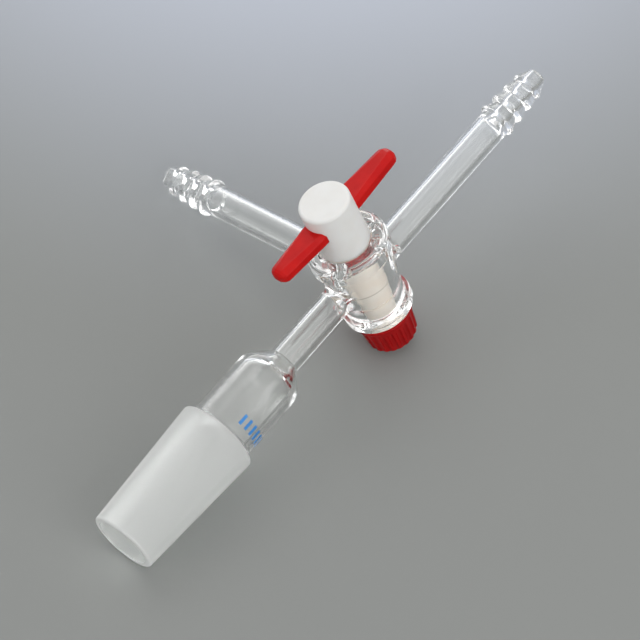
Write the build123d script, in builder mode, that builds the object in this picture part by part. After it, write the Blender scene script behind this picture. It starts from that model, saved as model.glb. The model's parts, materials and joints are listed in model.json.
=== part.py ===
from build123d import *
import os
from math import atan2, cos, degrees, radians, sin, sqrt

os.makedirs("parts", exist_ok=True)

# Three-way stopcock adapter, in millimetres.
# The pieces are drawn about the point where the plug's axis (Z, head up) crosses the through axis
# (X, ground joint at -X) and the side arm's axis (+Y). At the end they are laid on the bench.

# Plug seat: a 1 in 5 taper, its diameter taken where the axes cross
seat_diameter = 12.1
seat_taper_share = 1 / 5
bore_diameter = 4.0

# Barrel, measured up and down from the crossing
barrel_top = 15.0
barrel_bottom = 15.5
barrel_wall = 4.3

# Ground joint, standard taper 24/40
joint_large_diameter = 24.0
joint_length = 40.0
joint_taper_share = 1 / 10
joint_reach = 104.0
joint_wall = 1.7

# Neck behind the joint
neck_diameter = 19.6
neck_wall = 1.5

# Tubes and hose ends, both arms alike
tube_diameter = 9.2
tube_wall = 1.3
arm_reach = 80.0
ridge_count = 4
ridge_pitch = 4.55

# Plug head and handle, measured up from the barrel's top
head_height = 17.7
handle_rise = 10.4
handle_length = 50.0

# Tension nut
nut_height = 11.0
nut_wall = 2.36
flute_count = 20

# Clearances: the turning fits, the faces that bear on each other, and the overrun of every cut
running_clearance = 0.04
face_clearance = 0.03
overrun = 1.0


def seat_radius(height):
    """Radius of the tapered seat at a height over the crossing of the axes."""
    return (seat_diameter + seat_taper_share * height) / 2


def barrel_radius(height):
    """Radius of the barrel's tapered outside at a height over the crossing."""
    return seat_radius(height) + barrel_wall


def joint_radius(reach):
    """Radius of the ground cone at a distance from the plug's axis."""
    large_end = joint_reach - joint_length
    return (joint_large_diameter - joint_taper_share * (reach - large_end)) / 2


def round_centre(before, corner, after, radius):
    """Centre of the round that eases a corner of an outline, given with the corners beside it."""
    back = (Vector(before) - Vector(corner)).normalized()
    ahead = (Vector(after) - Vector(corner)).normalized()
    half_angle = radians(back.get_angle(ahead)) / 2
    return Vector(corner) + (back + ahead).normalized() * (radius / sin(half_angle))


# Glass body: barrel, joint with its neck, and two hose arms fused into one piece
collar_height = 5.4
collar_stand_out = 0.89
collar_edge_radius = 2.3
foot_height = 3.4
foot_stand_out = 1.36
foot_edge_radius = 1.4
ring_blend = 1.0
seat_lead = 0.7
weld_share = 0.66

joint_rim_radius = 0.8
joint_heel = 1.6
joint_heel_radius = 1.0
shoulder_start = 34.6
shoulder_length = 5.6
shoulder_radius = 6.0
shoulder_weld_radius = 1.0

first_ridge = 5.0
first_ridge_diameter = 9.4
last_ridge_diameter = 11.6
valley_diameter = 8.1
ridge_step = 0.9
ridge_radius = 0.7
tip_diameter = 5.2
tip_radius = 0.9
hose_bore_diameter = 3.6
bore_neck_length = 2.2

tube_radius = tube_diameter / 2
tube_bore_radius = tube_radius - tube_wall
neck_radius = neck_diameter / 2
neck_bore_radius = neck_radius - neck_wall
heel_reach = joint_reach - joint_length - joint_heel / 2
first_crest = arm_reach - first_ridge
last_crest = first_crest - ridge_pitch * (ridge_count - 1)
collar_start = barrel_top - collar_height
collar_radius = barrel_radius(collar_start) + collar_stand_out
foot_end = foot_height - barrel_bottom
foot_radius = barrel_radius(foot_end) + foot_stand_out

# Outline of a hose arm, from the plug's axis to the tip
arm_points = [(0, 0), (0, tube_radius), (last_crest - ridge_step, tube_radius)]
arm_radii = [0, 0]
for ridge in range(ridge_count):
    crest = last_crest + ridge * ridge_pitch
    growth = (last_ridge_diameter - first_ridge_diameter) / (ridge_count - 1)
    arm_points.append((crest, (last_ridge_diameter - ridge * growth) / 2))
    arm_radii.append(ridge_radius)
    if ridge < ridge_count - 1:
        arm_points.append((crest + ridge_pitch - ridge_step, valley_diameter / 2))
        arm_radii.append(0)
arm_points += [(arm_reach, tip_diameter / 2), (arm_reach, 0)]
arm_radii.append(tip_radius)
crest_centre = round_centre(*arm_points[-4:-1], ridge_radius)

# Outline of an arm's bore, from the port in the barrel to past the tip
port_radius = bore_diameter / 2
port_reach = barrel_radius(0)
bore_neck_end = last_crest - ridge_step
arm_bore_points = [
    (0, 0),
    (0, port_radius),
    (port_reach, port_radius),
    (port_reach + bore_neck_length, tube_bore_radius),
    (bore_neck_end - bore_neck_length, tube_bore_radius),
    (bore_neck_end, hose_bore_diameter / 2),
    (arm_reach + overrun, hose_bore_diameter / 2),
    (arm_reach + overrun, 0),
]

through_plane = Plane.XY
joint_plane = Plane(origin=(0, 0, 0), x_dir=(-1, 0, 0), z_dir=(0, 0, 1))
side_plane = Plane(origin=(0, 0, 0), x_dir=(0, 1, 0), z_dir=(0, 0, 1))

with BuildPart() as glass_body:
    # Barrel with its top collar and bottom foot
    with BuildSketch(Plane.XZ):
        with BuildLine():
            FilletPolyline(
                (0, -barrel_bottom),
                (foot_radius, -barrel_bottom),
                (foot_radius, foot_end),
                (barrel_radius(foot_end), foot_end + foot_edge_radius),
                (barrel_radius(collar_start), collar_start - collar_edge_radius / 2),
                (collar_radius, collar_start),
                (collar_radius, barrel_top),
                (0, barrel_top),
                radius=[foot_edge_radius, foot_edge_radius, ring_blend, ring_blend, ring_blend,
                        collar_edge_radius],
            )
            Line((0, barrel_top), (0, -barrel_bottom))
        make_face()
    revolve(axis=Axis.Z)

    # Ground joint, clear neck and the tube that carries them
    with BuildSketch(joint_plane):
        with BuildLine():
            FilletPolyline(
                (0, 0),
                (0, tube_radius),
                (shoulder_start, tube_radius),
                (shoulder_start + shoulder_length, neck_radius),
                (heel_reach - joint_heel / 2, neck_radius),
                (heel_reach, joint_radius(heel_reach)),
                (joint_reach, joint_radius(joint_reach)),
                (joint_reach, 0),
                radius=[0, shoulder_weld_radius, shoulder_radius, joint_heel_radius, joint_heel_radius,
                        joint_rim_radius],
            )
            Line((joint_reach, 0), (0, 0))
        make_face()
    revolve(axis=Axis.X)

    # Two hose arms
    for arm_plane, arm_axis in ((through_plane, Axis.X), (side_plane, Axis.Y)):
        with BuildSketch(arm_plane):
            with BuildLine():
                FilletPolyline(*arm_points, radius=arm_radii)
                Line((arm_reach, 0), (0, 0))
            make_face()
        revolve(axis=arm_axis)

    # Melted welds where the three tubes meet the barrel, as wide as the room between two tubes allows
    weld_radius = weld_share * (barrel_radius(0) / sqrt(2) - tube_radius)
    weld_zone = barrel_radius(barrel_top) * sqrt(2)
    welds = glass_body.edges().filter_by(
        lambda edge: abs(edge.center().Z) < tube_radius
        and tube_radius < edge.center().length < weld_zone
        and edge.bounding_box().size.Z > tube_radius
    )
    fillet(welds, weld_radius)

    # Tapered seat with a short lead at its mouth
    with BuildSketch(Plane.XZ):
        with BuildLine():
            Polyline(
                (0, -barrel_bottom - overrun),
                (seat_radius(-barrel_bottom - overrun), -barrel_bottom - overrun),
                (seat_radius(barrel_top - seat_lead), barrel_top - seat_lead),
                (seat_radius(barrel_top) + seat_lead, barrel_top),
                (seat_radius(barrel_top) + seat_lead, barrel_top + overrun),
                (0, barrel_top + overrun),
                close=True,
            )
        make_face()
    revolve(axis=Axis.Z, mode=Mode.SUBTRACT)

    # Bores of the hose arms
    for arm_plane, arm_axis in ((through_plane, Axis.X), (side_plane, Axis.Y)):
        with BuildSketch(arm_plane):
            with BuildLine():
                Polyline(*arm_bore_points, close=True)
            make_face()
        revolve(axis=arm_axis, mode=Mode.SUBTRACT)

    # Bore of the joint side: port, tube, shoulder, neck and the inside of the cone
    with BuildSketch(joint_plane):
        with BuildLine():
            FilletPolyline(
                (0, 0),
                (0, port_radius),
                (port_reach, port_radius),
                (port_reach + bore_neck_length, tube_bore_radius),
                (shoulder_start + neck_wall, tube_bore_radius),
                (shoulder_start + neck_wall + shoulder_length, neck_bore_radius),
                (heel_reach - joint_heel, neck_bore_radius),
                (heel_reach + joint_heel, joint_radius(heel_reach) - joint_wall),
                (joint_reach + overrun, joint_radius(joint_reach + overrun) - joint_wall),
                (joint_reach + overrun, 0),
                radius=[0, 0, 0, shoulder_weld_radius, shoulder_radius - neck_wall, joint_heel_radius,
                        joint_heel_radius, 0],
            )
            Line((joint_reach + overrun, 0), (0, 0))
        make_face()
    revolve(axis=Axis.X, mode=Mode.SUBTRACT)

# Plug: head, tapered body with a T-shaped bore, and tail with a flat
plug_lift = 1.0
head_step = 0.14
head_edge_radius = 1.0
tail_step = 0.56
tail_chamfer = 0.8
tail_flat_depth = 0.9
seal_groove_height = 7.4
seal_groove_width = 0.7
seal_groove_depth = 0.35
handle_clearance = 0.03

washer_thickness = 0.9
ring_section = 1.7
ring_squeeze_share = 0.9
nut_stand_off = 0.3
nut_end_depth = 0.8

washer_top = -barrel_bottom - face_clearance
ring_top = washer_top - washer_thickness
ring_height = ring_section * ring_squeeze_share
nut_top = ring_top - nut_stand_off
nut_floor = ring_top - ring_height - face_clearance
nut_bottom = nut_top - nut_height
tail_end = nut_bottom + nut_end_depth
plug_foot = barrel_bottom - plug_lift
head_top = barrel_top + head_height
handle_height = barrel_top + handle_rise


def plug_radius(height):
    """Radius of the plug's tapered body at a height over the crossing."""
    return seat_radius(height) - running_clearance


tail_radius = plug_radius(-plug_foot) - tail_step
head_radius = plug_radius(barrel_top) + head_step

# Section of the handle bar: flat top and bottom, upright flanks and a bevel between them
bar_width = 8.4
bar_top_width = 6.4
bar_depth = 4.7
bar_flank = 2.3
bar_edge_radius = 0.7
bar_plane = Plane(origin=(0, 0, handle_height), x_dir=(0, 1, 0), z_dir=(1, 0, 0))


def bar_outline(width, top_width, size_share):
    """Corners of the bar's section, drawn smaller by a share."""
    quarter = [(width / 2, bar_flank / 2), (top_width / 2, bar_depth / 2)]
    corners = quarter + [(-side, rise) for side, rise in reversed(quarter)]
    corners += [(-side, -rise) for side, rise in corners]
    return [(side * size_share, rise * size_share) for side, rise in corners]


with BuildPart() as plug:
    with BuildSketch(Plane.XZ):
        with BuildLine():
            FilletPolyline(
                (0, tail_end),
                (tail_radius - tail_chamfer, tail_end),
                (tail_radius, tail_end + tail_chamfer),
                (tail_radius, -plug_foot),
                (plug_radius(-plug_foot), -plug_foot),
                (plug_radius(barrel_top), barrel_top),
                (head_radius, barrel_top + face_clearance),
                (head_radius, head_top),
                (0, head_top),
                radius=[0, 0, 0, 0, 0, 0, head_edge_radius],
            )
            Line((0, head_top), (0, tail_end))
        make_face()
    revolve(axis=Axis.Z)

    # Flat along the tail, which keys the washer
    with BuildSketch(Plane.XY.offset(tail_end - overrun)):
        with Locations((0, -tail_radius)):
            Rectangle(tail_radius * 2, tail_flat_depth * 2)
    extrude(amount=-plug_foot - tail_end + overrun, mode=Mode.SUBTRACT)

    # Through bore and the stem of the T
    with BuildSketch(Plane.YZ):
        Circle(port_radius)
    extrude(amount=seat_radius(0) + overrun, both=True, mode=Mode.SUBTRACT)
    with BuildSketch(Plane.XZ):
        Circle(port_radius)
    extrude(amount=-seat_radius(0) - overrun, mode=Mode.SUBTRACT)

    # Sealing groove round the taper, below the bore
    with BuildSketch(Plane.XZ):
        with Locations((plug_radius(-seal_groove_height), -seal_groove_height)):
            Rectangle(seal_groove_depth * 2, seal_groove_width)
    revolve(axis=Axis.Z, mode=Mode.SUBTRACT)

    # Hole through the head for the handle bar
    with BuildSketch(bar_plane):
        with BuildLine():
            FilletPolyline(*bar_outline(bar_width, bar_top_width, 1), radius=bar_edge_radius, close=True)
        make_face()
        offset(amount=handle_clearance)
    extrude(amount=head_radius + overrun, both=True, mode=Mode.SUBTRACT)

# Handle bar: a constant middle in the head and two wings, narrower and more bevelled towards their blunt,
# rounded tips. It sits a little off centre in the head, as pushed in.
bar_offset = 1.0
bar_grip = 0.4
tip_width = 6.4
tip_top_width = 2.6
tip_length = 2.8
tip_rings = 5
tip_sweep = 78
tip_bluntness = 0.85

with BuildPart() as handle_bar:
    wing_root = head_radius + bar_grip
    stations = [(place, bar_width, bar_top_width, 1) for place in (-wing_root, wing_root)]
    for ring in range(tip_rings):
        turn = radians(tip_sweep * ring / (tip_rings - 1))
        dome_share = (sin(turn) / sin(radians(tip_sweep))) ** tip_bluntness
        reach = handle_length / 2 - tip_length * (1 - dome_share)
        ring_share = cos(turn) ** tip_bluntness
        for place in (bar_offset - reach, bar_offset + reach):
            stations.append((place, tip_width, tip_top_width, ring_share))
    for place, width, top_width, size_share in sorted(stations):
        with BuildSketch(bar_plane.offset(place)):
            with BuildLine():
                outline = bar_outline(width, top_width, size_share)
                FilletPolyline(*outline, radius=bar_edge_radius * size_share, close=True)
            make_face()
    loft(ruled=True)

# Washer under the barrel, keyed to the tail's flat and narrower than the nut
washer_inset = 1.3
nut_recess_room = 0.3

ring_bore_radius = tail_radius + running_clearance
nut_recess_radius = ring_bore_radius + ring_section + nut_recess_room
nut_radius = nut_recess_radius + nut_wall

with BuildPart() as ptfe_washer:
    with BuildSketch(Plane.XY.offset(washer_top)):
        Circle(nut_radius - washer_inset)
        Circle(ring_bore_radius, mode=Mode.SUBTRACT)
        with Locations((0, -tail_radius)):
            Rectangle(tail_radius * 2, (tail_flat_depth - running_clearance) * 2)
    extrude(amount=-washer_thickness)

# Rubber ring, squeezed flat between the washer and the nut
with BuildPart() as o_ring:
    with BuildSketch(Plane.XZ):
        with Locations((ring_bore_radius + ring_section / 2, ring_top - ring_height / 2)):
            Circle(ring_section / 2)
            Rectangle(ring_section, ring_height, mode=Mode.INTERSECT)
    revolve(axis=Axis.Z)

# Tension nut: thin flange, tapered fluted body, recess for the rubber ring, bore for the tail
flange_stand_out = 0.7
flange_thickness = 1.3
flange_edge_radius = 0.4
nut_draw_in = 0.95
nut_edge_radius = 0.9
flute_radius = 0.9
flute_depth = 0.7
flute_lead = 1.0

nut_foot = nut_radius - nut_draw_in
flange_radius = nut_radius + flange_stand_out
flange_bottom = nut_top - flange_thickness

# The round-ended rod that each flute of the nut is the print of, its top at the origin
with BuildPart() as flute_rod:
    with BuildSketch(Plane.XZ):
        with BuildLine():
            Polyline(
                (0, 0),
                (0, -nut_height),
                (flute_radius, -nut_height),
                (flute_radius, -flute_radius),
            )
            RadiusArc((flute_radius, -flute_radius), (0, 0), -flute_radius)
        make_face()
    revolve(axis=Axis.Z)

with BuildPart() as tension_nut:
    with BuildSketch(Plane.XZ):
        with BuildLine():
            FilletPolyline(
                (0, nut_bottom),
                (nut_foot, nut_bottom),
                (nut_radius, flange_bottom),
                (flange_radius, flange_bottom),
                (flange_radius, nut_top),
                (0, nut_top),
                radius=[nut_edge_radius, 0, flange_edge_radius, flange_edge_radius],
            )
            Line((0, nut_top), (0, nut_bottom))
        make_face()
    revolve(axis=Axis.Z)

    # Flutes, leaning with the taper
    lean = degrees(atan2(nut_draw_in, flange_bottom - nut_bottom))
    flute_ring = nut_radius - flute_depth + flute_radius
    with Locations((0, 0, flange_bottom - flute_lead)):
        with PolarLocations(flute_ring, flute_count):
            add(flute_rod.part, rotation=(0, lean, 0), mode=Mode.SUBTRACT)

    # Recess for the rubber ring and bore for the tail
    with Locations((0, 0, nut_floor)):
        Cylinder(
            nut_recess_radius,
            nut_height,
            align=(Align.CENTER, Align.CENTER, Align.MIN),
            mode=Mode.SUBTRACT,
        )
    with Locations((0, 0, nut_bottom - overrun)):
        Cylinder(
            ring_bore_radius,
            nut_height + overrun,
            align=(Align.CENTER, Align.CENTER, Align.MIN),
            mode=Mode.SUBTRACT,
        )

# Resting pose: the rounded edges that meet the bench are the joint's rim, the side arm's first ridge
# and the nut's foot. Each is a ring of round section: how far out it lies, its radius, its section.
rim_ring = (joint_reach - joint_rim_radius, joint_radius(joint_reach) - joint_rim_radius, joint_rim_radius)
ridge_ring = (crest_centre.X, crest_centre.Y, ridge_radius)
foot_ring = (-nut_bottom - nut_edge_radius, nut_foot - nut_edge_radius, nut_edge_radius)


def ring_drop(ring, tilt):
    """How far a ring reaches below its own centre when its axis leans by a tilt, given as a sine."""
    return ring[1] * sqrt(1 - tilt**2) + ring[2]


# The bench's upward direction in the drawn frame, found by repeating the three contacts
settle_rounds = 60
up_x, up_y, up_z = 0, 0, 1
for settle_round in range(settle_rounds):
    crossing_height = foot_ring[0] * up_z + ring_drop(foot_ring, up_z)
    up_x = (crossing_height - ring_drop(rim_ring, up_x)) / rim_ring[0]
    up_y = (ring_drop(ridge_ring, up_y) - crossing_height) / ridge_ring[0]
    up_z = sqrt(1 - up_x**2 - up_y**2)

up = Vector(up_x, up_y, up_z)
bench = Plane(origin=(0, 0, 0), x_dir=Vector(1, 0, 0) - up * up_x, z_dir=up)
tilt = bench.location.inverse()

pieces = {
    "glass_body": glass_body,
    "plug": plug,
    "handle_bar": handle_bar,
    "ptfe_washer": ptfe_washer,
    "o_ring": o_ring,
    "tension_nut": tension_nut,
}

# The origin is on the bench, under the middle of the whole stopcock's box
boxes = [piece.part.moved(tilt).bounding_box() for piece in pieces.values()]
middle_x = (min(box.min.X for box in boxes) + max(box.max.X for box in boxes)) / 2
middle_y = (min(box.min.Y for box in boxes) + max(box.max.Y for box in boxes)) / 2
lowest = min(box.min.Z for box in boxes)
rest = Location((-middle_x, -middle_y, -lowest)) * tilt

for name, piece in pieces.items():
    piece.part.move(rest)
    piece.part.label = name
    export_step(piece.part, f"parts/{name}.step")
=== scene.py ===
"""Three-way glass stopcock adapter, lying on a bench under soft studio light."""

from __future__ import annotations

import json
import logging
import math
from dataclasses import dataclass, field
from enum import Enum
from typing import Any, Union

import bmesh
import bpy
from mathutils import Matrix, Vector


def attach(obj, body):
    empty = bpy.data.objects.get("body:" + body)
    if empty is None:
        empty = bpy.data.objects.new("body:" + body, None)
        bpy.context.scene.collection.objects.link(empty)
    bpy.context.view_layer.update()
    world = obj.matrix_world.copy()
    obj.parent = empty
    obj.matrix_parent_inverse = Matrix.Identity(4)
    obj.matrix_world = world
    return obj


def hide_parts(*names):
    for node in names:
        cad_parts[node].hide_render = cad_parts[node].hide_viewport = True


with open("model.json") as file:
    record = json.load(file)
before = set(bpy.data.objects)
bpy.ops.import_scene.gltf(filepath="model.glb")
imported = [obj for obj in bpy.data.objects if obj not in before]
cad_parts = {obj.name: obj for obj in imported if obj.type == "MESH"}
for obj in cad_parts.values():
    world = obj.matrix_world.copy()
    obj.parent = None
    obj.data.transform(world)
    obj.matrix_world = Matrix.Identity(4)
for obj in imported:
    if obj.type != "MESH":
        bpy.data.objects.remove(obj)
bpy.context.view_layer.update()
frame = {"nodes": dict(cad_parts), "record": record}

LOG = logging.getLogger("stopcock")
MM = 0.001
UP = Vector((0.0, 0.0, 1.0))
NOISE_MIDDLE = 0.5
# The Mix node's sockets go by number, because those of its other types have the same names.
MIX_FIRST_COLOUR = 6
MIX_SECOND_COLOUR = 7
MIX_BLENDED_COLOUR = 2
Colour = tuple[float, float, float]


class Slot(Enum):
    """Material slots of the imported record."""

    GLASS = "clear_glass"
    FLUOROPOLYMER = "white_ptfe"


class Body(Enum):
    """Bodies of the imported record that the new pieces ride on."""

    GLASS = "glass"
    PLUG = "plug"


class Skin(Enum):
    """Surfaces of the glass body, numbered as its materials are."""

    BLOWN = 0
    GROUND = 1
    RIM = 2


def linear(red: int, green: int, blue: int) -> Colour:
    """Linear colour of a display colour whose parts run from 0 to 255.

    Args:
        red: Red part.
        green: Green part.
        blue: Blue part.

    Returns:
        The same colour in linear light.
    """

    def part(value: int) -> float:
        """One part, taken off the display's curve."""
        share = value / 255
        return share / 12.92 if share <= 0.04045 else ((share + 0.055) / 1.055) ** 2.4

    return part(red), part(green), part(blue)


class Wire:
    """A shader value that plain Python expressions can add, take away and multiply."""

    def __init__(self, book: NodeBook, socket: bpy.types.NodeSocket) -> None:
        """Wraps an output socket of the book's node tree."""
        self.book = book
        self.socket = socket

    def _math(self, operation: str, first: Value, second: Value) -> Wire:
        """Adds one Math node for two values."""
        return self.book.add("ShaderNodeMath", {"operation": operation}, {0: first, 1: second})

    def __add__(self, other: Value) -> Wire:
        """Sum of two values."""
        return self._math("ADD", self, other)

    def __radd__(self, other: Value) -> Wire:
        """Sum with a plain number on the left."""
        return self._math("ADD", other, self)

    def __sub__(self, other: Value) -> Wire:
        """Difference of two values."""
        return self._math("SUBTRACT", self, other)

    def __rsub__(self, other: Value) -> Wire:
        """Difference with a plain number on the left."""
        return self._math("SUBTRACT", other, self)

    def __mul__(self, other: Value) -> Wire:
        """Product of two values."""
        return self._math("MULTIPLY", self, other)

    def __rmul__(self, other: Value) -> Wire:
        """Product with a plain number on the left."""
        return self._math("MULTIPLY", other, self)

    def sine(self) -> Wire:
        """Sine of the value, in radians."""
        return self.book.add("ShaderNodeMath", {"operation": "SINE"}, {0: self})

    def magnitude(self) -> Wire:
        """The value without its sign."""
        return self.book.add("ShaderNodeMath", {"operation": "ABSOLUTE"}, {0: self})

    def larger(self, other: Value) -> Wire:
        """The larger of two values."""
        return self._math("MAXIMUM", self, other)

    def rise(self, low: float, high: float) -> Wire:
        """A smooth step from 0 at low to 1 at high.

        Args:
            low: Value where the step begins.
            high: Value where the step ends.

        Returns:
            The step as a value from 0 to 1.
        """
        settings = {"interpolation_type": "SMOOTHSTEP"}
        sockets = {"Value": self, "From Min": low, "From Max": high}
        return self.book.add("ShaderNodeMapRange", settings, sockets)


Value = Union[Wire, float]
Paint = Union[Wire, Colour]


class NodeBook:
    """The node tree of one material or world, written node by node."""

    def __init__(self, tree: bpy.types.NodeTree) -> None:
        """Starts with an empty tree."""
        self.tree = tree
        self.tree.nodes.clear()

    def add(
        self,
        kind: str,
        settings: dict[str, Any] | None = None,
        sockets: dict[str | int, Any] | None = None,
        output: str | int = 0,
    ) -> Wire:
        """Adds a node, sets it up and joins its sockets.

        Args:
            kind: Blender's name of the node's type.
            settings: The node's own settings, such as a Math node's operation.
            sockets: Values or wires of the node's inputs, by name or number.
            output: The output that the result stands for.

        Returns:
            A wire from that output, or from the first input of a node that has no outputs.
        """
        node = self.tree.nodes.new(kind)
        for name, value in (settings or {}).items():
            setattr(node, name, value)
        for key, value in (sockets or {}).items():
            if isinstance(value, Wire):
                self.tree.links.new(value.socket, node.inputs[key])
            else:
                node.inputs[key].default_value = value
        return Wire(self, node.outputs[output]) if node.outputs else Wire(self, node.inputs[0])

    def place(self) -> Wire:
        """The point of the surface in the frame at rest, which moves with its piece."""
        return self.add("ShaderNodeTexCoord", output="Object")

    def noise(self, grain: float, detail: float = 2.0) -> Wire:
        """Soft noise over the piece.

        Args:
            grain: Size of one patch, in metres.
            detail: How many finer layers are added.

        Returns:
            The noise, from 0 to 1 about a half.
        """
        sockets = {"Vector": self.place(), "Scale": 1 / grain, "Detail": detail}
        return self.add("ShaderNodeTexNoise", {}, sockets)

    def dot(self, vector: Wire, axis: Vector) -> Wire:
        """Length of a vector along an axis.

        Args:
            vector: The vector.
            axis: Direction of length one.

        Returns:
            The length as a value.
        """
        settings = {"operation": "DOT_PRODUCT"}
        return self.add("ShaderNodeVectorMath", settings, {0: vector, 1: tuple(axis)}, "Value")

    def along(self, origin: Vector, axis: Vector) -> Wire:
        """Distance of the surface point from an origin, measured along an axis.

        Args:
            origin: Point that the distance starts from.
            axis: Direction of length one.

        Returns:
            The distance in metres.
        """
        return self.dot(self.place(), axis) - origin.dot(axis)

    def distance(self, spot: Vector) -> Wire:
        """Distance of the surface point from a spot.

        Args:
            spot: The spot.

        Returns:
            The distance in metres.
        """
        settings = {"operation": "DISTANCE"}
        return self.add("ShaderNodeVectorMath", settings, {0: self.place(), 1: tuple(spot)}, "Value")

    def mix(self, share: Value, first: Paint, second: Paint) -> Wire:
        """Blend of two colours.

        Args:
            share: 0 for the first colour, 1 for the second.
            first: First colour, linear, or a wire that carries it.
            second: Second colour, linear, or a wire that carries it.

        Returns:
            The blended colour.
        """
        sockets: dict[str | int, Any] = {"Factor": share}
        for key, paint in ((MIX_FIRST_COLOUR, first), (MIX_SECOND_COLOUR, second)):
            sockets[key] = paint if isinstance(paint, Wire) else (*paint, 1.0)
        return self.add("ShaderNodeMix", {"data_type": "RGBA"}, sockets, MIX_BLENDED_COLOUR)

    def bump(self, height: Wire, depth: float) -> Wire:
        """Normal of a surface with small relief.

        Args:
            height: Relief as a value.
            depth: Depth of a relief of one, in metres.

        Returns:
            The normal.
        """
        return self.add("ShaderNodeBump", {}, {"Height": height, "Distance": depth})

    def end(self, sockets: dict[str, Any]) -> None:
        """Ends the material in one shader.

        Args:
            sockets: Values or wires of the shader's inputs, by name.
        """
        shader = self.add("ShaderNodeBsdfPrincipled", {}, sockets)
        self.add("ShaderNodeOutputMaterial", {}, {"Surface": shader})


@dataclass(frozen=True)
class Axes:
    """The stopcock's own directions where it lies: through axis, side arm and plug axis."""

    crossing: Vector
    through: Vector
    side: Vector
    plug: Vector

    @classmethod
    def of(cls, record: dict[str, Any]) -> Axes:
        """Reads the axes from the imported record's mounts and joints.

        Args:
            record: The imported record.

        Returns:
            The axes, with the crossing where the side arm's axis meets the through axis.
        """
        mounts = {mount["name"]: mount for mount in record["mounts"]}
        through = Vector(mounts["through_hose_end"]["axis"]).normalized()
        end = Vector(mounts["through_hose_end"]["pos_m"])
        side_end = Vector(mounts["side_hose_end"]["pos_m"])
        plug_turn = next(joint for joint in record["behaviour"]["joints"] if joint["name"] == "plug_turn")
        return cls(
            crossing=end + through * (side_end - end).dot(through),
            through=through,
            side=Vector(mounts["side_hose_end"]["axis"]).normalized(),
            plug=Vector(plug_turn["axis"]).normalized(),
        )


class Finish:
    """A surface finish that is made into one material when it is first asked for."""

    name: str = "finish"

    def material(self) -> bpy.types.Material:
        """The finish's material, made once.

        Returns:
            The material.
        """
        made = bpy.data.materials.get(self.name)
        if made is None:
            made = bpy.data.materials.new(self.name)
            made.use_nodes = True
            self.write(NodeBook(made.node_tree))
        return made

    def write(self, book: NodeBook) -> None:
        """Writes the finish's nodes."""
        raise NotImplementedError


@dataclass(frozen=True)
class BlownGlass(Finish):
    """Clear glass: smooth in the drawn tubes, wavy round the barrel, faintly hazy in the neck."""

    axes: Axes
    name: str = "blown_glass"
    tint: Colour = (0.985, 0.99, 0.985)
    refraction: float = 1.474
    clear_share: float = 1.0
    wave: float = 7.0 * MM
    wave_detail: float = 1.0
    wave_depth: float = 0.05 * MM
    drawn_wave_share: float = 0.03
    melt_start: float = 16.0 * MM
    melt_end: float = 30.0 * MM
    haze_start: float = 43.0 * MM
    haze_end: float = 52.0 * MM
    haze: float = 0.25

    def write(self, book: NodeBook) -> None:
        """Clear glass with a soft wave that is strongest round the barrel, and the neck's haze.

        Args:
            book: Node tree of the material.
        """
        drawn = book.distance(self.axes.crossing).rise(self.melt_start, self.melt_end)
        reach = book.along(self.axes.crossing, -self.axes.through)
        height = book.noise(self.wave, self.wave_detail) * (1 - drawn * (1 - self.drawn_wave_share))
        book.end({
            "Base Color": (*self.tint, 1.0),
            "Roughness": reach.rise(self.haze_start, self.haze_end) * self.haze,
            "IOR": self.refraction,
            "Transmission Weight": self.clear_share,
            "Normal": book.bump(height, self.wave_depth),
        })


@dataclass(frozen=True)
class GroundGlass(Finish):
    """Ground outside of the joint's cone: even, white and matt, with the grain of the grinding."""

    name: str = "ground_glass"
    tint: Colour = (0.90, 0.91, 0.90)
    refraction: float = 1.474
    clear_share: float = 0.66
    gloss: float = 0.1
    grain: float = 0.25 * MM
    grain_detail: float = 3.0
    grain_depth: float = 0.012 * MM
    cloud: float = 10.0 * MM
    lowest_roughness: float = 0.92
    roughness_spread: float = 0.08

    def write(self, book: NodeBook) -> None:
        """Rough glass with a share of matt white.

        Args:
            book: Node tree of the material.
        """
        grain = book.noise(self.grain, self.grain_detail)
        cloud = book.noise(self.cloud)
        book.end({
            "Base Color": (*self.tint, 1.0),
            "Roughness": self.lowest_roughness + self.roughness_spread * cloud,
            "IOR": self.refraction,
            "Specular IOR Level": self.gloss,
            "Transmission Weight": self.clear_share,
            "Normal": book.bump(grain, self.grain_depth),
        })


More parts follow.
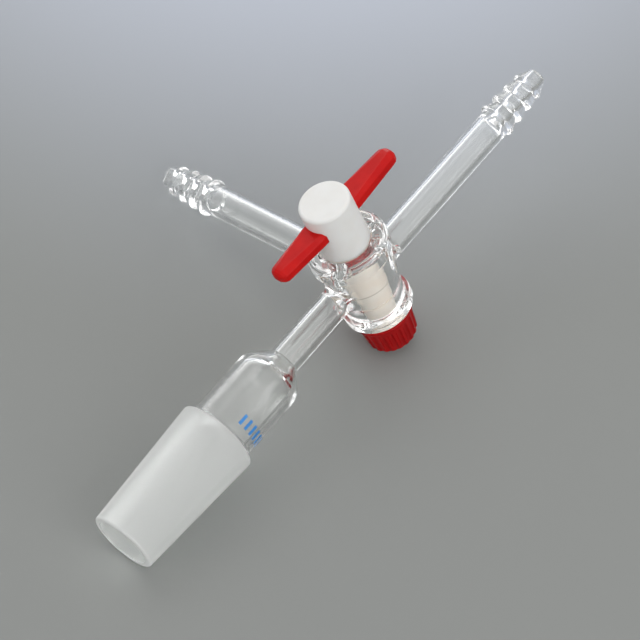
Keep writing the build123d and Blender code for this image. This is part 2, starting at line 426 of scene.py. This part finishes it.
@dataclass(frozen=True)
class TurnedFluoropolymer(Finish):
    """White fluoropolymer turned on a lathe: waxy, faintly cloudy, with a painted warm tint below the head
    and a painted shade line round the plug.
    """

    axes: Axes
    name: str = "turned_fluoropolymer"
    white: Colour = linear(240, 240, 238)
    shade: Colour = linear(237, 236, 233)
    # Painted warm tint below the head, standing in for how the body looks through the barrel's glass.
    through_glass_tint: Colour = linear(243, 236, 227)
    through_glass_tint_cloud: Colour = linear(240, 228, 215)
    # Painted shade: a dark line round the plug, standing in for the shade of its groove.
    shade_line: Colour = linear(188, 178, 164)
    shade_line_height: float = -1.4 * MM
    shade_line_width: float = 0.32 * MM
    head_foot: float = 15.0 * MM
    head_blend: float = 0.3 * MM
    cloud: float = 5.0 * MM
    cloud_detail: float = 3.0
    patch_low: float = 0.35
    patch_high: float = 0.75
    mark_pitch: float = 0.22 * MM
    mark_depth: float = 0.003 * MM
    mark_wander: float = 4.0
    roughness: float = 0.40
    roughness_spread: float = 0.12
    gloss: float = 0.3
    glow_share: float = 0.25
    glow_reach: float = 1.2 * MM
    glow_colour: Colour = (1.0, 0.9, 0.8)

    def write(self, book: NodeBook) -> None:
        """Waxy white with turning marks, a painted warm tint below the head and one painted shade line
        round the plug's axis.

        Args:
            book: Node tree of the material.
        """
        height = book.along(self.axes.crossing, self.axes.plug)
        turns = height * (2 * math.pi / self.mark_pitch)
        marks = (turns + self.mark_wander * book.noise(self.cloud)).sine()
        cloud = book.noise(self.cloud, self.cloud_detail)
        patches = cloud.rise(self.patch_low, self.patch_high)
        on_head = height.rise(self.head_foot - self.head_blend, self.head_foot + self.head_blend)
        # Painted shade line round the plug's axis.
        off_shade_line = (height - self.shade_line_height).magnitude().rise(0.0, self.shade_line_width)
        clean = book.mix(patches, self.white, self.shade)
        # Painted warm tint on the body inside the barrel's glass.
        tinted = book.mix(patches, self.through_glass_tint, self.through_glass_tint_cloud)
        book.end({
            "Base Color": book.mix(off_shade_line, self.shade_line, book.mix(on_head, tinted, clean)),
            "Roughness": self.roughness + self.roughness_spread * (cloud - NOISE_MIDDLE),
            "Specular IOR Level": self.gloss,
            "Subsurface Weight": self.glow_share,
            "Subsurface Radius": self.glow_colour,
            "Subsurface Scale": self.glow_reach,
            "Normal": book.bump(marks, self.mark_depth),
        })


@dataclass(frozen=True)
class ThinFluoropolymer(Finish):
    """Thin fluoropolymer washer: milky, and clear enough for the red nut to show through."""

    name: str = "thin_fluoropolymer"
    milk: Colour = linear(246, 240, 236)
    refraction: float = 1.35
    clear_share: float = 0.97
    cloud: float = 2.0 * MM
    cloud_detail: float = 3.0
    lowest_roughness: float = 0.06
    roughness_spread: float = 0.10
    skin_depth: float = 0.01 * MM

    def write(self, book: NodeBook) -> None:
        """Milky sheet with a faint cloud.

        Args:
            book: Node tree of the material.
        """
        cloud = book.noise(self.cloud, self.cloud_detail)
        book.end({
            "Base Color": (*self.milk, 1.0),
            "Roughness": self.lowest_roughness + self.roughness_spread * cloud,
            "IOR": self.refraction,
            "Transmission Weight": self.clear_share,
            "Normal": book.bump(cloud, self.skin_depth),
        })


@dataclass(frozen=True)
class MouldedRed(Finish):
    """Red moulded plastic with a fine spark-eroded skin, deeper red in soft patches."""

    name: str = "moulded_red"
    red: Colour = linear(204, 20, 16)
    deep: Colour = linear(192, 15, 15)
    skin: float = 0.35 * MM
    skin_depth: float = 0.008 * MM
    cloud: float = 6.0 * MM
    cloud_detail: float = 3.0
    patch_low: float = 0.3
    patch_high: float = 0.7
    roughness: float = 0.22
    roughness_spread: float = 0.10
    gloss: float = 0.14

    def write(self, book: NodeBook) -> None:
        """Satin red with a fine skin.

        Args:
            book: Node tree of the material.
        """
        cloud = book.noise(self.cloud, self.cloud_detail)
        patches = cloud.rise(self.patch_low, self.patch_high)
        book.end({
            "Base Color": book.mix(patches, self.red, self.deep),
            "Roughness": self.roughness + self.roughness_spread * (cloud - NOISE_MIDDLE),
            "Specular IOR Level": self.gloss,
            "Normal": book.bump(book.noise(self.skin), self.skin_depth),
        })


@dataclass(frozen=True)
class RedRubber(Finish):
    """Matt red-brown rubber with a dusty bloom."""

    name: str = "ring_rubber"
    brown: Colour = linear(168, 50, 38)
    bloom: Colour = linear(186, 84, 70)
    cloud: float = 1.5 * MM
    cloud_detail: float = 4.0
    bloom_low: float = 0.4
    bloom_high: float = 0.8
    lowest_roughness: float = 0.5
    roughness_spread: float = 0.2
    skin_depth: float = 0.01 * MM

    def write(self, book: NodeBook) -> None:
        """Red rubber, paler in patches.

        Args:
            book: Node tree of the material.
        """
        cloud = book.noise(self.cloud, self.cloud_detail)
        patches = cloud.rise(self.bloom_low, self.bloom_high)
        book.end({
            "Base Color": book.mix(patches, self.brown, self.bloom),
            "Roughness": self.lowest_roughness + self.roughness_spread * cloud,
            "Normal": book.bump(cloud, self.skin_depth),
        })


@dataclass(frozen=True)
class FiredEnamel(Finish):
    """Blue enamel fired on glass: glossy, thinner and paler in specks."""

    name: str = "fired_enamel"
    blue: Colour = linear(38, 128, 205)
    pale: Colour = linear(96, 168, 220)
    speck: float = 0.35 * MM
    speck_detail: float = 3.0
    speck_low: float = 0.5
    speck_high: float = 0.75
    lowest_roughness: float = 0.3
    roughness_spread: float = 0.2

    def write(self, book: NodeBook) -> None:
        """Blue with paler specks.

        Args:
            book: Node tree of the material.
        """
        speck = book.noise(self.speck, self.speck_detail)
        thin = speck.rise(self.speck_low, self.speck_high)
        book.end({
            "Base Color": book.mix(thin, self.blue, self.pale),
            "Roughness": self.lowest_roughness + self.roughness_spread * speck,
        })


@dataclass(frozen=True)
class BenchPaper(Finish):
    """Plain grey studio paper with a painted pool of light, lighter towards the back."""

    name: str = "bench_paper"
    front: Colour = linear(147, 149, 147)
    # The back colour is painted light, a pool of light behind the stopcock; the front colour is the
    # paper's own grey.
    back: Colour = linear(213, 220, 235)
    # Middle of the painted pool of light.
    spot: Vector = field(default_factory=lambda: Vector((0.200, 0.144, 0.0)))
    light_pool_radius: float = 0.044
    light_pool_reach: float = 0.269
    roughness: float = 0.8
    gloss: float = 0.2

    def write(self, book: NodeBook) -> None:
        """Matt paper with a painted pool of light that fades towards the front.

        Args:
            book: Node tree of the material.
        """
        # Painted pool of light round the spot, fading out towards the front.
        away = book.distance(self.spot).rise(self.light_pool_radius, self.light_pool_reach)
        book.end({
            "Base Color": book.mix(away, self.back, self.front),
            "Roughness": self.roughness,
            "Specular IOR Level": self.gloss,
        })


def new_piece(name: str, mesh: bpy.types.Mesh, body: Body) -> bpy.types.Object:
    """Adds a mesh to the scene as a piece of the stopcock.

    Args:
        name: The piece's name.
        mesh: Its mesh, in the frame at rest.
        body: The body that it rides on.

    Returns:
        The new piece.
    """
    piece = bpy.data.objects.new(name, mesh)
    bpy.context.scene.collection.objects.link(piece)
    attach(piece, body.value)
    return piece


def dress(node: str, finish: Finish) -> bpy.types.Object:
    """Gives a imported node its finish.

    Args:
        node: Name of the node.
        finish: Its finish.

    Returns:
        The node's piece.
    """
    piece = frame["nodes"][node]
    piece.data.materials.clear()
    piece.data.materials.append(finish.material())
    return piece


@dataclass
class GlassBody:
    """The fused glass: barrel, joint, neck and two hose arms, with its cone ground outside.

    The taper is the radius that the cone loses per length.
    """

    axes: Axes
    cone_large_radius: float = 12.0 * MM
    cone_taper: float = 1 / 20
    cone_length: float = 40.0 * MM
    heel_length: float = 1.6 * MM
    heel_radius: float = 10.6 * MM
    rim_length: float = 0.8 * MM
    rim_clear_share: float = 0.35
    bore_radius: float = 8.4 * MM
    skin_depth: float = 0.3 * MM

    def build(self) -> bpy.types.Object:
        """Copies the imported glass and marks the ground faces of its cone.

        Returns:
            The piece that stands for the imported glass.
        """
        mesh = frame["nodes"]["glass_body"].data.copy()
        mesh.name = "blown_body"
        mesh.materials.clear()
        rim = GroundGlass("ground_rim", clear_share=self.rim_clear_share)
        for finish in (BlownGlass(self.axes), GroundGlass(), rim):
            mesh.materials.append(finish.material())
        joint_end = max(self._reach(vertex.co) for vertex in mesh.vertices)
        for polygon in mesh.polygons:
            polygon.material_index = self._skin(polygon.center, joint_end).value
        piece = new_piece("blown_body", mesh, Body.GLASS)
        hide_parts("glass_body")
        return piece

    def _reach(self, place: Vector) -> float:
        """How far a point lies from the crossing towards the joint's mouth."""
        return -(place - self.axes.crossing).dot(self.axes.through)

    def _skin(self, place: Vector, joint_end: float) -> Skin:
        """Surface that a face belongs to.

        Args:
            place: Middle of the face.
            joint_end: Reach of the joint's mouth.

        Returns:
            The surface.
        """
        reach = self._reach(place)
        radius = (place - self.axes.crossing + self.axes.through * reach).length
        if reach > joint_end - self.rim_length and radius > self.bore_radius:
            return Skin.RIM
        large_end = joint_end - self.cone_length
        cone_radius = self.cone_large_radius - self.cone_taper * (reach - large_end)
        on_cone = reach >= large_end and radius > cone_radius - self.skin_depth
        on_heel = large_end - self.heel_length <= reach < large_end and radius > self.heel_radius
        return Skin.GROUND if on_cone or on_heel else Skin.BLOWN


@dataclass
class TurnedPlug:
    """The white plug: head and tapered body as packed, and a tail with a thread and one flat."""

    axes: Axes
    tail_top: float = -14.5 * MM
    tail_end: float = -26.93 * MM
    tail_radius: float = 4.0 * MM
    flat_distance: float = 3.1 * MM
    chamfer: float = 0.8 * MM
    run_out: float = 1.4 * MM
    thread_depth: float = 0.5 * MM
    thread_pitch: float = 1.5 * MM
    crest_share: float = 0.3
    columns: int = 80
    rows_per_turn: int = 14
    tolerance: float = 0.01 * MM

    def build(self) -> bpy.types.Object:
        """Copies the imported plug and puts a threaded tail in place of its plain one.

        Returns:
            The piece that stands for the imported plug.
        """
        mesh = frame["nodes"]["plug"].data.copy()
        mesh.name = "turned_plug"
        shape = bmesh.new()
        shape.from_mesh(mesh)
        self._cut_tail(shape)
        self._add_tail(shape)
        self._close_foot(shape)
        shape.to_mesh(mesh)
        shape.free()
        mesh.materials.clear()
        mesh.materials.append(TurnedFluoropolymer(self.axes).material())
        piece = new_piece("turned_plug", mesh, Body.PLUG)
        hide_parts("plug")
        return piece

    def _cut_tail(self, shape: bmesh.types.BMesh) -> None:
        """Takes away the plain tail and the foot that it hangs from.

        Args:
            shape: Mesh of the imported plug.
        """
        top = self.tail_top + self.tolerance
        plain = [face for face in shape.faces if self._height(face.calc_center_median()) < top]
        bmesh.ops.delete(shape, geom=plain, context="FACES")

    def _add_tail(self, shape: bmesh.types.BMesh) -> None:
        """Adds the threaded tail, open at its top.

        Args:
            shape: Mesh that it is added to.
        """
        rows = round((self.tail_top - self.tail_end) / self.thread_pitch * self.rows_per_turn)
        rings = []
        for row in range(rows + 1):
            height = self.tail_end + (self.tail_top - self.tail_end) * row / rows
            ring = []
            for column in range(self.columns):
                turn = 2 * math.pi * column / self.columns
                outward = self.axes.side * math.cos(turn) - self.axes.through * math.sin(turn)
                spot = self.axes.crossing + self.axes.plug * height + outward * self._radius(height, turn)
                ring.append(shape.verts.new(spot))
            rings.append(ring)
        for ring, above in zip(rings, rings[1:]):
            for column in range(self.columns):
                beside = (column + 1) % self.columns
                shape.faces.new((ring[column], ring[beside], above[beside], above[column])).smooth = True
        shape.faces.new(list(reversed(rings[0])))

    def _close_foot(self, shape: bmesh.types.BMesh) -> None:
        """Fills the flat foot between the body and the new tail.

        Args:
            shape: Mesh that is open there.
        """
        edges = [edge for edge in shape.edges if edge.is_boundary and self._at_foot(edge)]
        filled = bmesh.ops.triangle_fill(shape, use_beauty=True, edges=edges)
        for face in filled["geom"]:
            if not isinstance(face, bmesh.types.BMFace):
                continue
            face.smooth = False
            face.normal_update()
            if face.normal.dot(self.axes.plug) > 0:
                face.normal_flip()

    def _height(self, place: Vector) -> float:
        """Height of a point over the crossing, along the plug's axis."""
        return (place - self.axes.crossing).dot(self.axes.plug)

    def _at_foot(self, edge: bmesh.types.BMEdge) -> bool:
        """Whether an edge lies in the plane of the body's foot."""
        heights = (self._height(vertex.co) for vertex in edge.verts)
        return all(abs(height - self.tail_top) < self.tolerance for height in heights)

    def _radius(self, height: float, turn: float) -> float:
        """Radius of the threaded tail.

        Args:
            height: Height over the crossing.
            turn: Angle round the plug's axis from the side arm's axis, in radians.

        Returns:
            The radius, cut by the flat where that lies nearer.
        """
        wave = math.cos(2 * math.pi * height / self.thread_pitch - turn)
        groove = min(1.0, (1 - wave) / 2 / (1 - self.crest_share))
        fade = min(1.0, max(0.0, (self.tail_top - height) / self.run_out))
        radius = self.tail_radius - self.thread_depth * groove * fade
        radius = min(radius, self.tail_radius - self.chamfer + height - self.tail_end)
        away = -math.cos(turn)
        return min(radius, self.flat_distance / away) if away > 0 else radius


@dataclass
class SizeMark:
    """Plain blue enamel bars fired on the clear neck, where such joints carry their size.

    The turns of the bars round the neck are in degrees.
    """

    axes: Axes
    neck_radius: float = 9.8 * MM
    reach: float = 57.6 * MM
    bar_height: float = 3.3 * MM
    bar_width: float = 0.95 * MM
    first_turn: float = 54.0
    turn_step: float = 13.0
    bars: int = 6
    gap: float = 0.006 * MM
    thickness: float = 0.03 * MM
    steps: int = 4

    def build(self) -> bpy.types.Object:
        """Adds the bars as thin bent plates.

        Returns:
            The mark's piece.
        """
        shape = bmesh.new()
        for bar in range(self.bars):
            self._bar(shape, math.radians(self.first_turn + bar * self.turn_step))
        bmesh.ops.recalc_face_normals(shape, faces=shape.faces)
        mesh = bpy.data.meshes.new("size_mark")
        shape.to_mesh(mesh)
        shape.free()
        mesh.materials.append(FiredEnamel().material())
        return new_piece("size_mark", mesh, Body.GLASS)

    def _bar(self, shape: bmesh.types.BMesh, middle: float) -> None:
        """Adds one bar.

        Args:
            shape: Mesh that it is added to.
            middle: Turn of the bar's middle round the through axis, from the plug's axis, in radians.
        """
        half_turn = self.bar_width / self.neck_radius / 2
        rows = []
        for step in range(self.steps + 1):
            turn = middle + half_turn * (2 * step / self.steps - 1)
            outward = self.axes.plug * math.cos(turn) - self.axes.side * math.sin(turn)
            ring = []
            for lift, end in ((0, -1), (self.thickness, -1), (self.thickness, 1), (0, 1)):
                along = -self.reach + end * self.bar_height / 2
                radius = self.neck_radius + self.gap + lift
                spot = self.axes.crossing + self.axes.through * along + outward * radius
                ring.append(shape.verts.new(spot))
            rows.append(ring)
        for ring, after in zip(rows, rows[1:]):
            for corner in range(len(ring)):
                beside = (corner + 1) % len(ring)
                shape.faces.new((ring[corner], ring[beside], after[beside], after[corner]))
        shape.faces.new(rows[0])
        shape.faces.new(rows[-1])


@dataclass
class Studio:
    """Bench, soft lights, pale surroundings and the camera.

    Angles are in degrees, lens and sensor in millimetres, powers in watts and all other lengths in metres.
    """

    floor_radius: float = 3.0
    sides: int = 96
    lamp_distance: float = 1.2
    fill_direction: Vector = field(default_factory=lambda: Vector((-0.15, -0.80, 0.58)).normalized())
    fill_size: float = 0.8
    fill_power: float = 2.8
    top_direction: Vector = field(default_factory=lambda: Vector((0.2, 0.5, 0.84)).normalized())
    top_size: float = 0.7
    top_power: float = 2.0
    ambient: float = 0.74
    low_glow: float = 0.65
    high_glow: float = 1.6
    glow_start: float = 0.4
    glow_end: float = 0.9
    panel_direction: Vector = field(default_factory=lambda: Vector((0.50, 0.866, 0.0)).normalized())
    panel_edge: float = 0.55
    panel_core: float = 0.96
    panel_bottom: float = 0.12
    panel_top: float = 0.80
    panel_glow: float = 3.2
    behind_glass_gain: float = 2.1
    behind_glass_panel_share: float = 0.4
    surroundings: Colour = (1.0, 1.0, 1.0)
    light_bounces: int = 40
    aim: Vector = field(default_factory=lambda: Vector((-3.461, -28.567, 20.908)) * MM)
    azimuth: float = -52.739
    elevation: float = 55.252
    roll: float = 2.915
    distance: float = 1176.8 * MM
    lens: float = 235.455
    sensor: float = 36.0
    nearest: float = 0.05
    farthest: float = 20.0

    def build(self) -> None:
        """Sets up the whole studio."""
        scene = bpy.context.scene
        scene.view_settings.view_transform = "Standard"
        scene.cycles.max_bounces = self.light_bounces
        scene.cycles.transmission_bounces = self.light_bounces
        scene.cycles.glossy_bounces = self.light_bounces
        self._floor()
        self._lamp("fill_softbox", self.fill_direction, self.fill_size, self.fill_power)
        self._lamp("top_softbox", self.top_direction, self.top_size, self.top_power)
        self._surroundings()
        self._camera()

    def _floor(self) -> None:
        """A wide disc of studio paper under the stopcock."""
        shape = bmesh.new()
        bmesh.ops.create_circle(shape, cap_ends=True, segments=self.sides, radius=self.floor_radius)
        mesh = bpy.data.meshes.new("bench")
        shape.to_mesh(mesh)
        shape.free()
        mesh.materials.append(BenchPaper().material())
        bench = bpy.data.objects.new("bench", mesh)
        bpy.context.scene.collection.objects.link(bench)

    def _lamp(self, name: str, direction: Vector, size: float, power: float) -> None:
        """A softbox that faces the aim point.

        Args:
            name: The lamp's name.
            direction: From the aim point to the lamp.
            size: Length of its sides.
            power: Its power in watts.
        """
        data = bpy.data.lights.new(name, "AREA")
        data.shape = "SQUARE"
        data.size = size
        data.energy = power
        lamp = bpy.data.objects.new(name, data)
        bpy.context.scene.collection.objects.link(lamp)
        lamp.location = self.aim + direction * self.lamp_distance
        lamp.rotation_euler = direction.to_track_quat("Z", "Y").to_euler()

    def _surroundings(self) -> None:
        """Pale room: even light on matt things, and in glass and gloss a bright panel behind."""
        world = bpy.data.worlds.new("surroundings")
        bpy.context.scene.world = world
        world.use_nodes = True
        book = NodeBook(world.node_tree)
        seen = book.add("ShaderNodeLightPath", output="Is Camera Ray")
        mirrored = book.add("ShaderNodeLightPath", output="Is Glossy Ray")
        refracted = book.add("ShaderNodeLightPath", output="Is Transmission Ray")
        shown = seen.larger(mirrored).larger(refracted)
        heading = book.add("ShaderNodeTexCoord", output="Generated")
        height = book.dot(heading, UP)
        facing = book.dot(heading, self.panel_direction)
        sky = height.rise(self.glow_start, self.glow_end)
        room = self.low_glow + sky * (self.high_glow - self.low_glow)
        below_top = 1 - height.rise(self.panel_bottom, self.panel_top)
        panel = facing.rise(self.panel_edge, self.panel_core) * below_top
        matt = book.add("ShaderNodeLightPath", output="Diffuse Depth").rise(0.0, 1.0)
        behind_glass = refracted * matt
        room = room * (1 + behind_glass * (self.behind_glass_gain - 1))
        panel_loss = self.panel_glow * (1 - self.behind_glass_panel_share)
        panel = panel * (self.panel_glow - behind_glass * panel_loss)
        strength = self.ambient + shown * (room + panel - self.ambient)
        sockets = {"Color": (*self.surroundings, 1.0), "Strength": strength}
        background = book.add("ShaderNodeBackground", {}, sockets)
        book.add("ShaderNodeOutputWorld", {}, {"Surface": background})

    def _camera(self) -> None:
        """Camera at the photograph's angle, with its slight roll."""
        data = bpy.data.cameras.new("camera")
        data.lens = self.lens
        data.sensor_width = self.sensor
        camera = bpy.data.objects.new("camera", data)
        bpy.context.scene.collection.objects.link(camera)
        turn, rise = math.radians(self.azimuth), math.radians(self.elevation)
        back = Vector((math.sin(turn) * math.cos(rise), -math.cos(turn) * math.cos(rise), math.sin(rise)))
        facing = (-back).to_track_quat("-Z", "Y").to_matrix()
        camera.matrix_world = (
            Matrix.Translation(self.aim + back * self.distance)
            @ facing.to_4x4()
            @ Matrix.Rotation(math.radians(self.roll), 4, "Z")
        )
        data.clip_start = self.nearest
        data.clip_end = self.farthest
        bpy.context.scene.camera = camera


def main() -> None:
    """Builds the stopcock's looks and the studio."""
    logging.basicConfig(level=logging.INFO, format="%(name)s: %(message)s")
    axes = Axes.of(frame["record"])
    # The nut's red is a darker copy of the handle's red: painted shade for the nut lying in shadow.
    shaded_nut_red = MouldedRed("shaded_nut_red", linear(176, 15, 17), linear(160, 11, 14))
    pieces = [
        GlassBody(axes).build(),
        SizeMark(axes).build(),
        TurnedPlug(axes).build(),
        dress("ptfe_washer", ThinFluoropolymer()),
        dress("handle_bar", MouldedRed()),
        dress("tension_nut", shaded_nut_red),
        dress("o_ring", RedRubber()),
    ]
    for piece in pieces:
        finishes = ", ".join(material.name for material in piece.data.materials)
        LOG.info("%s: %d faces in %s", piece.name, len(piece.data.polygons), finishes)
    Studio().build()


if __name__ == "__main__":
    main()
